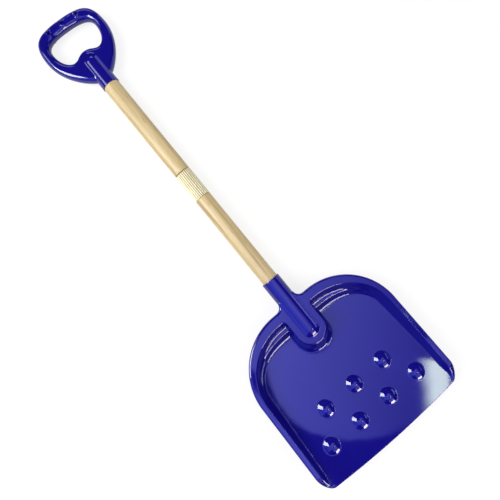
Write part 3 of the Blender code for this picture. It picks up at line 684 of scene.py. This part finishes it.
def grip_places(outer, hole):
    """Plan points on rings from the outer outline to the hole, close together at both."""
    width = np.sqrt(((hole - outer) ** 2).sum(-1))
    turn = np.linspace(0.0, math.pi / 2, GRIP_ROUND_RINGS)
    edge = np.minimum(GRIP_ROUND / width, GRIP_ROUND_MOST_SHARE)
    near = [(1 - math.cos(a)) * edge for a in turn]
    middle = [mix(edge, 1 - edge, share) for share in np.linspace(0.0, 1.0, GRIP_FLAT_RINGS + 1)[1:-1]]
    shares = near + middle + [1 - share for share in reversed(near)]
    return np.array([outer + (hole - outer) * share[:, None] for share in shares])


def grip_mesh():
    outer_half, hole_half = grip_outlines()
    outer, hole = mirrored(outer_half), mirrored(hole_half)
    plan = grip_places(outer, hole)
    rings, steps, _ = plan.shape
    flat = plan.reshape(-1, 2)
    face = GRIP_HALF_THICKNESS * edge_round(distance_to(outer, flat)) * edge_round(distance_to(hole, flat))
    y = GRIP_TOP_Y + flat[:, 1]
    tube = tube_height(flat[:, 0], GRIP_SOCKET_RADIUS, y - GRIP_SOCKET_END_Y)
    height = np.maximum(np.where(tube > 0, smooth_max(face, tube, GRIP_FILLET_REACH), face), 0.0)
    height[np.isclose(face, 0.0) & (tube <= 0)] = 0.0
    front = np.column_stack((flat[:, 0], y, height))
    back = front * (1, 1, -1)
    index = np.arange(rings * steps).reshape(rings, steps)
    index = np.hstack((index, index[:, :1]))
    other = index + rings * steps
    faces = grid_faces(index) + [quad[::-1] for quad in grid_faces(other)]
    faces += grid_faces(np.stack((other[0], index[0]))) + grid_faces(np.stack((index[-1], other[-1])))
    points = np.vstack((front, back))
    tube_points, tube_faces = turned(grip_socket_profile())
    faces += [[len(points) + i for i in quad] for quad in tube_faces]
    mesh = mesh_of("grip_moulding", np.vstack((points, tube_points)), faces)
    join_seams(mesh)
    raise_ridges(mesh)
    mesh.set_sharp_from_angle(angle=THROAT_EDGE)
    return mesh


def join_seams(mesh):
    """Joins the front and back halves along their outlines, and drops the faces that this closes."""
    bm = bmesh.new()
    bm.from_mesh(mesh)
    bmesh.ops.remove_doubles(bm, verts=bm.verts, dist=TINY_LENGTH)
    bmesh.ops.dissolve_degenerate(bm, edges=bm.edges, dist=TINY_LENGTH)
    bmesh.ops.recalc_face_normals(bm, faces=bm.faces)
    bm.to_mesh(mesh)
    bm.free()


def raise_ridges(mesh):
    """Finger ridges across both faces of the hand bar, which run out before its outer edge."""
    ridge_end = GRIP_TOP_Y - RIDGE_REACH
    for vertex in mesh.vertices:
        fade = min(max((vertex.co.y - ridge_end) / RIDGE_END_FADE, 0.0), 1.0)
        fade *= min(max((RIDGE_TURN_AWAY - vertex.normal.y) / RIDGE_FADE, 0.0), 1.0)
        fade *= min(max((RIDGE_TURN_IN + vertex.normal.y) / RIDGE_FADE, 0.0), 1.0)
        bump = 0.0
        for i in range(RIDGE_COUNT):
            away = vertex.co.x - (i - (RIDGE_COUNT - 1) / 2) * RIDGE_SPACING
            bump += math.exp(-((away / RIDGE_WIDTH) ** 2))
        vertex.co += vertex.normal * (RIDGE_RISE * bump * fade)


def grip_socket_profile():
    """Tube round the shaft's upper tenon, from its mouth to inside the grip's face, and its bore."""
    bore = GRIP_TENON_RADIUS + FIT_GAP
    covered = GRIP_TOP_Y - GRIP_THROAT
    sunk = GRIP_SOCKET_RADIUS - TUBE_INSET
    bore_end = GRIP_MOUTH_Y + GRIP_TENON_LENGTH
    mouth = [(0.0, bore_end), (bore, bore_end), (bore, GRIP_MOUTH_Y), (GRIP_SOCKET_RADIUS, GRIP_MOUTH_Y)]
    outside = [(GRIP_SOCKET_RADIUS, covered + TUBE_INSET), (sunk, covered + TUBE_OVERLAP)]
    round_end = [
        (sunk * math.cos(a), GRIP_SOCKET_END_Y + sunk * math.sin(a))
        for a in np.linspace(0.0, math.pi / 2, BEND_STEPS)[:-1]
    ]
    end = (0.0, GRIP_SOCKET_END_Y + sunk)
    return [*rounded([*mouth, outside[0]], MOUTH_ROUND), outside[1], *round_end, end]


# Materials

def new_material(name):
    material = bpy.data.materials.new(name)
    material.use_nodes = True
    return material, material.node_tree, material.node_tree.nodes["Principled BSDF"]


def add_node(tree, kind, settings=(), **inputs):
    """A node with its properties set and its inputs given a value or linked to an output."""
    node = tree.nodes.new(kind)
    for name, value in dict(settings).items():
        setattr(node, name, value)
    for name, value in inputs.items():
        link_input(tree, node, name.replace("_", " "), value)
    return node


def link_input(tree, node, name, value):
    socket = node.inputs[name]
    if isinstance(value, bpy.types.NodeSocket):
        tree.links.new(value, socket)
    else:
        socket.default_value = value


def place_of(tree, scale=(1.0, 1.0, 1.0)):
    """Position in the piece's own frame, stretched by scale."""
    place = add_node(tree, "ShaderNodeTexCoord").outputs["Object"]
    return add_node(tree, "ShaderNodeMapping", Vector=place, Scale=scale).outputs["Vector"]


def noise(tree, place, scale, detail=3.0):
    return add_node(tree, "ShaderNodeTexNoise", Vector=place, Scale=scale, Detail=detail).outputs["Fac"]


def ramp(tree, factor, stops):
    """A colour ramp through (position, colour) stops."""
    node = add_node(tree, "ShaderNodeValToRGB", Fac=factor)
    elements = node.color_ramp.elements
    for element, (position, color) in zip((elements[0], elements[1]), stops):
        element.position = position
        element.color = (*color, 1.0)
    for position, color in stops[2:]:
        elements.new(position).color = (*color, 1.0)
    return node.outputs["Color"]


def spread(tree, factor, low, high):
    node = add_node(tree, "ShaderNodeMapRange", Value=factor)
    node.inputs["To Min"].default_value = low
    node.inputs["To Max"].default_value = high
    return node.outputs["Result"]


def bump(tree, height, strength, distance, before=None):
    node = add_node(tree, "ShaderNodeBump", Height=height, Strength=strength, Distance=distance)
    if before:
        tree.links.new(before, node.inputs["Normal"])
    return node.outputs["Normal"]


def blue_plastic():
    """Glossy moulded plastic: faint flow marks in the colour, slight waviness and a little wear."""
    material, tree, shader = new_material("blue_plastic")
    place = place_of(tree)
    flow = noise(tree, place_of(tree, (9.0, 3.0, 9.0)), scale=2.0)
    stops = ((0.30, (0.0070, 0.0046, 0.205)), (0.70, (0.0090, 0.0062, 0.245)))
    link_input(tree, shader, "Base Color", ramp(tree, flow, stops))
    wear = noise(tree, place, scale=260.0)
    link_input(tree, shader, "Roughness", spread(tree, wear, low=0.03, high=0.07))
    shader.inputs["IOR"].default_value = 1.52
    wave = bump(tree, noise(tree, place, scale=22.0, detail=1.0), strength=0.04, distance=0.004)
    skin = bump(tree, noise(tree, place, scale=900.0), strength=0.015, distance=0.0004, before=wave)
    link_input(tree, shader, "Normal", skin)
    return material


def turned_wood():
    """Pale dowel under clear lacquer: long grain bands, fine fibres and short dark pores."""
    material, tree, shader = new_material("turned_wood")
    bands = noise(tree, place_of(tree, (1.0, 0.035, 1.0)), scale=230.0, detail=4.0)
    fibres = noise(tree, place_of(tree, (1.0, 0.012, 1.0)), scale=1500.0, detail=2.0)
    pores = noise(tree, place_of(tree, (1.0, 0.05, 1.0)), scale=1100.0, detail=1.0)
    stops = (
        (0.28, (0.51, 0.37, 0.18)),
        (0.72, (0.79, 0.62, 0.34)),
        (0.48, (0.68, 0.53, 0.27)),
        (0.58, (0.74, 0.58, 0.31)),
    )
    grain = ramp(tree, bands, stops)
    fine = ramp(tree, fibres, ((0.35, (0.86, 0.84, 0.80)), (0.62, WHITE)))
    dark = ramp(tree, pores, ((0.26, (0.72, 0.64, 0.54)), (0.36, WHITE)))
    color = multiplied(tree, multiplied(tree, grain, fine), dark)
    link_input(tree, shader, "Base Color", color)
    link_input(tree, shader, "Roughness", spread(tree, fibres, low=0.34, high=0.52))
    shader.inputs["Specular IOR Level"].default_value = 0.25
    shader.inputs["Coat Weight"].default_value = 0.05
    shader.inputs["Coat Roughness"].default_value = 0.28
    link_input(tree, shader, "Normal", bump(tree, fibres, strength=0.12, distance=0.0003))
    return material


def multiplied(tree, first, second):
    settings = {"data_type": "RGBA", "blend_type": "MULTIPLY"}
    node = add_node(tree, "ShaderNodeMix", settings)
    node.inputs["Factor"].default_value = 1.0
    colors = [socket for socket in node.inputs if socket.type == "RGBA"]
    tree.links.new(first, colors[0])
    tree.links.new(second, colors[1])
    return next(socket for socket in node.outputs if socket.type == "RGBA")


def cream_plastic():
    """Satin cream plastic with a cloudy tint, a fine moulded texture and painted shade in its grooves."""
    material, tree, shader = new_material("cream_plastic")
    place = place_of(tree)
    stops = ((0.3, (0.84, 0.77, 0.48)), (0.7, (0.90, 0.85, 0.58)))
    tint = ramp(tree, noise(tree, place, scale=70.0), stops)
    # Painted shade in the rib grooves: the colour darkens with depth into each groove, where shade falls.
    across = place_of(tree, (1.0, 0.0, 1.0))
    radius = add_node(tree, "ShaderNodeVectorMath", {"operation": "LENGTH"}, Vector=across).outputs["Value"]
    height = add_node(tree, "ShaderNodeMapRange", Value=radius)
    height.inputs["From Min"].default_value = SLEEVE_RADIUS - RIB_DEPTH
    height.inputs["From Max"].default_value = SLEEVE_RADIUS
    groove_shade = ramp(tree, height.outputs["Result"], ((0.10, (0.55, 0.42, 0.26)), (0.60, WHITE)))
    link_input(tree, shader, "Base Color", multiplied(tree, tint, groove_shade))
    satin = noise(tree, place, scale=400.0)
    link_input(tree, shader, "Roughness", spread(tree, satin, low=0.32, high=0.46))
    skin = bump(tree, noise(tree, place, scale=1400.0), strength=0.08, distance=0.0003)
    link_input(tree, shader, "Normal", skin)
    return material


def screw_steel():
    """Zinc-plated steel with a fine speckle."""
    material, tree, shader = new_material("screw_steel")
    place = place_of(tree)
    stops = ((0.3, (0.50, 0.50, 0.51)), (0.7, (0.64, 0.64, 0.63)))
    link_input(tree, shader, "Base Color", ramp(tree, noise(tree, place, scale=900.0), stops))
    speckle = noise(tree, place, scale=2500.0)
    link_input(tree, shader, "Roughness", spread(tree, speckle, low=0.25, high=0.42))
    shader.inputs["Metallic"].default_value = 1.0
    skin = bump(tree, noise(tree, place, scale=3000.0), strength=0.1, distance=0.0002)
    link_input(tree, shader, "Normal", skin)
    return material


# Studio

def grey(level):
    return (level, level, level, 1.0)


def white_floor():
    """Pale matt floor that the camera and mirrors see as white, with the object's soft shadow kept."""
    bpy.ops.mesh.primitive_plane_add(size=FLOOR_SIZE)
    floor = bpy.context.object
    floor.name = "studio_floor"
    material, tree, shader = new_material("studio_floor")
    tree.nodes.remove(shader)
    path = add_node(tree, "ShaderNodeLightPath")
    seen = path.outputs["Is Camera Ray"]
    for ray in ("Is Glossy Ray", "Is Transmission Ray"):
        seen = larger(tree, seen, path.outputs[ray])
    matt = add_node(tree, "ShaderNodeBsdfDiffuse", Color=grey(FLOOR_BOUNCE)).outputs["BSDF"]
    shaded = add_node(tree, "ShaderNodeBsdfDiffuse", Color=grey(FLOOR_SHADED)).outputs["BSDF"]
    glow = add_node(tree, "ShaderNodeEmission", Strength=FLOOR_GLOW).outputs["Emission"]
    both = tree.nodes.new("ShaderNodeAddShader")
    tree.links.new(shaded, both.inputs[0])
    tree.links.new(glow, both.inputs[1])
    choice = tree.nodes.new("ShaderNodeMixShader")
    tree.links.new(seen, choice.inputs["Fac"])
    tree.links.new(matt, choice.inputs[1])
    tree.links.new(both.outputs["Shader"], choice.inputs[2])
    tree.links.new(choice.outputs["Shader"], tree.nodes["Material Output"].inputs["Surface"])
    floor.data.materials.append(material)


def larger(tree, first, second):
    node = add_node(tree, "ShaderNodeMath", {"operation": "MAXIMUM"})
    tree.links.new(first, node.inputs[0])
    tree.links.new(second, node.inputs[1])
    return node.outputs["Value"]


def softbox(name, target, direction, distance, size, radiance, color=WHITE, roll=0.0):
    """A flat light seen from target in a direction of the shaft's frame, facing it."""
    light = bpy.data.lights.new(name, "AREA")
    light.shape = "RECTANGLE"
    light.size, light.size_y = size
    light.energy = radiance * math.pi * size[0] * size[1]
    light.color = color
    lamp = bpy.data.objects.new(name, light)
    bpy.context.scene.collection.objects.link(lamp)
    toward = Vector(direction).normalized()
    facing = toward.to_track_quat("Z", "Y").to_matrix().to_4x4() @ Matrix.Rotation(roll, 4, "Z")
    lamp.matrix_world = SHAFT_FRAME @ Matrix.Translation(Vector(target) + toward * distance) @ facing
    return lamp


def matt_light(name, target, **settings):
    """A softbox that lights surfaces and casts the shadow, and that no glossy surface shows."""
    softbox(name, target, **settings).visible_glossy = False


def reflector(name, target, **settings):
    """A softbox that only glossy surfaces show, so that it adds sheen without more light."""
    lamp = softbox(name, target, **settings)
    lamp.visible_diffuse = False
    return lamp


def ceiling_panel(name, place, height=CEILING_HEIGHT, **settings):
    """A reflector that hangs flat over a place of the shaft's frame."""
    return reflector(name, (*place, 0.0), direction=(0.0, 0.0, 1.0), distance=height, **settings)


def make_oval(lamp):
    """Rounds a flat light to an ellipse of the same radiance."""
    lamp.data.shape = "ELLIPSE"
    lamp.data.energy *= math.pi / 4


def graded(lamp, start, over_width, over_length):
    """Lets a flat light's radiance change across it: its share at one corner and what each side adds."""
    lamp.data.use_nodes = True
    tree = lamp.data.node_tree
    gain = add_node(tree, "ShaderNodeVectorMath", {"operation": "DOT_PRODUCT"})
    tree.links.new(add_node(tree, "ShaderNodeNewGeometry").outputs["Parametric"], gain.inputs[0])
    gain.inputs[1].default_value = (over_width, over_length, 0.0)
    share = add_node(tree, "ShaderNodeMath", {"operation": "ADD", "use_clamp": True})
    tree.links.new(gain.outputs["Value"], share.inputs[0])
    share.inputs[1].default_value = start
    tree.links.new(share.outputs["Value"], tree.nodes["Emission"].inputs["Strength"])


def add_matt_lights():
    panel = {"distance": 1.5, "size": (0.9, 0.9)}
    matt_light("left_light", MIDDLE, direction=(-0.62, 0.32, 0.72), radiance=6.5, **panel)
    matt_light("right_fill", DOMES, direction=(0.55, -0.45, 0.70), radiance=2.4, **panel)


def add_left_reflectors():
    reflector(
        "left_key", DOMES, direction=(-0.66, 0.46, 0.60), distance=1.4,
        size=(0.64, 0.90), radiance=18.0,
    )
    reflector(
        "left_back", GRIP, direction=(-0.70, 0.45, 0.555), distance=1.3,
        size=(0.70, 0.42), radiance=6.0, color=(0.88, 0.95, 1.0),
    )
    reflector(
        "left_low", DOMES, direction=(-0.92, -0.15, 0.36), distance=1.5,
        size=(1.2, 0.45), radiance=3.2, color=(0.14, 0.18, 1.0),
    )


def add_right_reflectors():
    reflector(
        "right_back", GRIP, direction=(0.85, 0.45, 0.30), distance=1.3,
        size=(0.60, 0.55), radiance=2.8, color=(0.33, 0.36, 1.0),
    )
    reflector(
        "right_low", DOMES, direction=(0.94, -0.20, 0.28), distance=1.3,
        size=(0.9, 0.26), radiance=5.0, color=(0.30, 0.30, 1.0),
    )


def add_end_reflectors():
    reflector(
        "back", MIDDLE, direction=(0.25, 0.83, 0.50), distance=1.8,
        size=(0.60, 0.35), radiance=5.0, color=(0.50, 0.55, 1.0),
    )
    reflector(
        "front", DOMES, direction=(0.06, -0.97, 0.22), distance=1.2,
        size=(0.62, 0.36), radiance=15.0, color=(1.0, 0.90, 0.97),
    )
    reflector(
        "front_middle", DOMES, direction=(0.0, -0.80, 0.62), distance=1.3,
        size=(1.1, 0.55), radiance=3.0, color=(0.28, 0.28, 1.0),
    )


def add_ceiling():
    """Panels that the scoop's floor shows. The window hangs lower, so that no other panel hides it."""
    overhead = ceiling_panel(
        "overhead", (0.30, -0.01), size=(1.00, 0.76), radiance=5.0, color=(0.30, 0.32, 1.0)
    )
    make_oval(overhead)
    graded(overhead, start=0.522, over_width=0.623, over_length=-0.668)
    ceiling_panel(
        "left_overhead", (-0.34, -0.17), size=(0.20, 0.92), radiance=5.0, color=(0.26, 0.27, 1.0)
    )
    ceiling_panel("left_fill", (-1.08, -0.15), size=(1.24, 1.20), radiance=3.5, color=(0.14, 0.19, 1.0))
    ceiling_panel("front_fill", (0.30, -0.69), size=(1.0, 0.52), radiance=3.0, color=(0.28, 0.28, 1.0))
    window = ceiling_panel(
        "window", (0.286, -0.3556), WINDOW_HEIGHT, size=(0.31, 0.121),
        radiance=15.5, color=(0.86, 1.0, 0.80), roll=WINDOW_TURN,
    )
    graded(window, start=-0.13, over_width=0.0, over_length=2.26)


def add_world():
    """Even light from all round, which no glossy surface shows."""
    world = bpy.data.worlds.new("studio")
    bpy.context.scene.world = world
    world.use_nodes = True
    background = world.node_tree.nodes["Background"]
    background.inputs["Color"].default_value = grey(1.0)
    background.inputs["Strength"].default_value = WORLD_LEVEL
    world.cycles_visibility.glossy = False


def add_camera():
    camera = bpy.data.cameras.new("photo_camera")
    camera.sensor_width = SENSOR_WIDTH
    camera.lens = SENSOR_WIDTH * FOCAL_PIXELS / PICTURE_PIXELS
    angles = CAMERA_TURN * math.radians(1.0)
    right, up, back = Matrix.Rotation(angles.length, 3, angles)
    cosine, sine = math.cos(SHAFT_LEAN), math.sin(SHAFT_LEAN)
    axes = (right * cosine - up * sine, right * sine + up * cosine, back)
    pose = Matrix.Translation(CAMERA_PLACE) @ Matrix(axes).transposed().to_4x4()
    holder = bpy.data.objects.new("photo_camera", camera)
    bpy.context.scene.collection.objects.link(holder)
    holder.matrix_world = SHAFT_FRAME @ pose
    bpy.context.scene.camera = holder


BLUE = blue_plastic()
WOOD = turned_wood()
CREAM = cream_plastic()
STEEL = screw_steel()

add_piece("scoop_moulding", scoop_mesh(), BLUE, "lower_half", "scoop_blade")
add_piece("lower_dowel", lower_shaft_mesh(), WOOD, "lower_half", "lower_shaft")
add_piece("ribbed_sleeve", sleeve_mesh(), CREAM, "lower_half", "coupling_sleeve")
add_piece("upper_dowel", upper_shaft_mesh(), WOOD, "upper_half", "upper_shaft")
add_piece("grip_moulding", grip_mesh(), BLUE, "upper_half", "d_grip")
for screw in ("blade_screw", "grip_screw"):
    frame["nodes"][screw].data.materials.clear()
    frame["nodes"][screw].data.materials.append(STEEL)

white_floor()
add_matt_lights()
add_left_reflectors()
add_right_reflectors()
add_end_reflectors()
add_ceiling()
add_world()
add_camera()
bpy.context.scene.view_settings.view_transform = "Standard"
